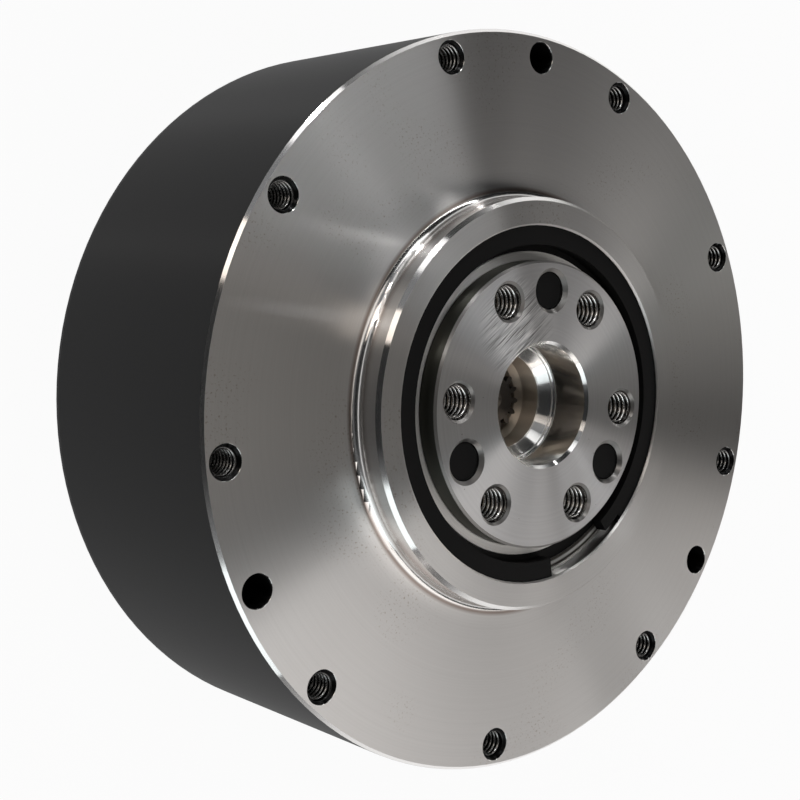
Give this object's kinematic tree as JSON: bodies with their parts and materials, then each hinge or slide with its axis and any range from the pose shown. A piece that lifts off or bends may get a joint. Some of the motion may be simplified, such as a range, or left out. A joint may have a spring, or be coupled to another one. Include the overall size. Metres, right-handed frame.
{
  "type": "robot joint actuator",
  "caption": "Round robot joint actuator: black casing with a bare turned face, tapped hole circle, raised bearing boss and a turning output flange driven by a geared motor inside.",
  "frame": {"origin": "centre of the flat rear face, on the output axis", "axes": "+Z is the output axis, out of the output face; +Y points at one of the three dowel holes; the sockets are on the -Y side of the rear"},
  "size_m": [0.098, 0.098, 0.041],
  "materials": {
    "machined_aluminium": "turned and machined, bare",
    "anodised_casing": "satin black anodised outside, turned bare on the front face",
    "black_phosphate": "black oxide",
    "bearing_steel": "ground and polished",
    "cage_nylon": "moulded",
    "seal_rubber": "moulded",
    "gear_steel": "cut and ground",
    "bronze": "sintered",
    "lamination_steel": "stacked sheet",
    "enamelled_copper": "enamelled winding",
    "nickel_plate": "nickel plated",
    "circuit_board": "solder resist",
    "chip_resin": "moulded resin",
    "capacitor_can": "drawn can",
    "socket_plastic": "moulded",
    "socket_nylon": "moulded"
  },
  "bodies": {
    "casing": {"front_housing": "anodised_casing", "snap_ring": "black_phosphate", "rear_housing": "machined_aluminium", "rear_cover": "anodised_casing", "rear_cover_screws": "black_phosphate", "output_bearing_outer_ring": "bearing_steel", "output_bearing_seals": "seal_rubber", "rotor_bearing_outer_ring": "bearing_steel", "ring_gear": "gear_steel", "stator_core": "lamination_steel", "stator_coils": "enamelled_copper", "driver_board": "circuit_board", "board_screws": "black_phosphate", "power_transistors": "chip_resin", "encoder_chip": "chip_resin", "controller_chip": "chip_resin", "bus_capacitors": "capacitor_can", "power_socket": "socket_plastic", "signal_sockets": "socket_nylon"},
    "output": {"output_flange": "machined_aluminium", "carrier_front_plate": "machined_aluminium", "carrier_rear_plate": "machined_aluminium", "carrier_screws": "black_phosphate", "planet_pins": "black_phosphate", "thrust_washers": "bronze", "output_bearing_inner_ring": "bearing_steel", "pilot_bearing_outer_ring": "bearing_steel"},
    "rotor": {"rotor_hub": "machined_aluminium", "rotor_ring": "gear_steel", "rotor_magnets": "nickel_plate", "encoder_magnet": "nickel_plate", "sun_gear": "gear_steel", "rotor_bearing_inner_ring": "bearing_steel", "pilot_bearing_inner_ring": "bearing_steel"},
    "planet_1": {"planet_gear_1": "gear_steel", "planet_bush_1": "bronze"},
    "planet_2": {"planet_gear_2": "gear_steel", "planet_bush_2": "bronze"},
    "planet_3": {"planet_gear_3": "gear_steel", "planet_bush_3": "bronze"},
    "output_bearing_cage_set": {"output_bearing_balls": "bearing_steel", "output_bearing_cage": "cage_nylon"},
    "rotor_bearing_cage_set": {"rotor_bearing_balls": "bearing_steel", "rotor_bearing_cage": "cage_nylon"},
    "pilot_bearing_cage_set": {"pilot_bearing_balls": "bearing_steel", "pilot_bearing_cage": "cage_nylon"}
  },
  "joints": [
    {"name": "rotor_spin", "type": "hinge", "parent": "casing", "child": "rotor", "pos_m": [0, 0, 0.0099], "axis": [0, 0, 1], "continuous": true},
    {"name": "output_spin", "type": "hinge", "parent": "casing", "child": "output", "pos_m": [0, 0, 0.0345], "axis": [0, 0, 1], "continuous": true},
    {"name": "planet_1_spin", "type": "hinge", "parent": "output", "child": "planet_1", "pos_m": [0, 0.015, 0.0225], "axis": [0, 0, 1], "continuous": true},
    {"name": "planet_2_spin", "type": "hinge", "parent": "output", "child": "planet_2", "pos_m": [-0.01299, -0.0075, 0.0225], "axis": [0, 0, 1], "continuous": true},
    {"name": "planet_3_spin", "type": "hinge", "parent": "output", "child": "planet_3", "pos_m": [0.01299, -0.0075, 0.0225], "axis": [0, 0, 1], "continuous": true},
    {"name": "output_bearing_cage_spin", "type": "hinge", "parent": "casing", "child": "output_bearing_cage_set", "pos_m": [0, 0, 0.0345], "axis": [0, 0, 1], "continuous": true},
    {"name": "rotor_bearing_cage_spin", "type": "hinge", "parent": "casing", "child": "rotor_bearing_cage_set", "pos_m": [0, 0, 0.0099], "axis": [0, 0, 1], "continuous": true},
    {"name": "pilot_bearing_cage_spin", "type": "hinge", "parent": "casing", "child": "pilot_bearing_cage_set", "pos_m": [0, 0, 0.0165], "axis": [0, 0, 1], "continuous": true}
  ],
  "couplings": [
    {"joint": "output_spin", "follows": "rotor_spin", "ratio": 0.125},
    {"joint": "planet_1_spin", "follows": "rotor_spin", "ratio": -0.29167},
    {"joint": "planet_2_spin", "follows": "rotor_spin", "ratio": -0.29167},
    {"joint": "planet_3_spin", "follows": "rotor_spin", "ratio": -0.29167},
    {"joint": "output_bearing_cage_spin", "follows": "rotor_spin", "ratio": 0.058274},
    {"joint": "rotor_bearing_cage_spin", "follows": "rotor_spin", "ratio": 0.43077},
    {"joint": "pilot_bearing_cage_spin", "follows": "rotor_spin", "ratio": 0.51}
  ]
}
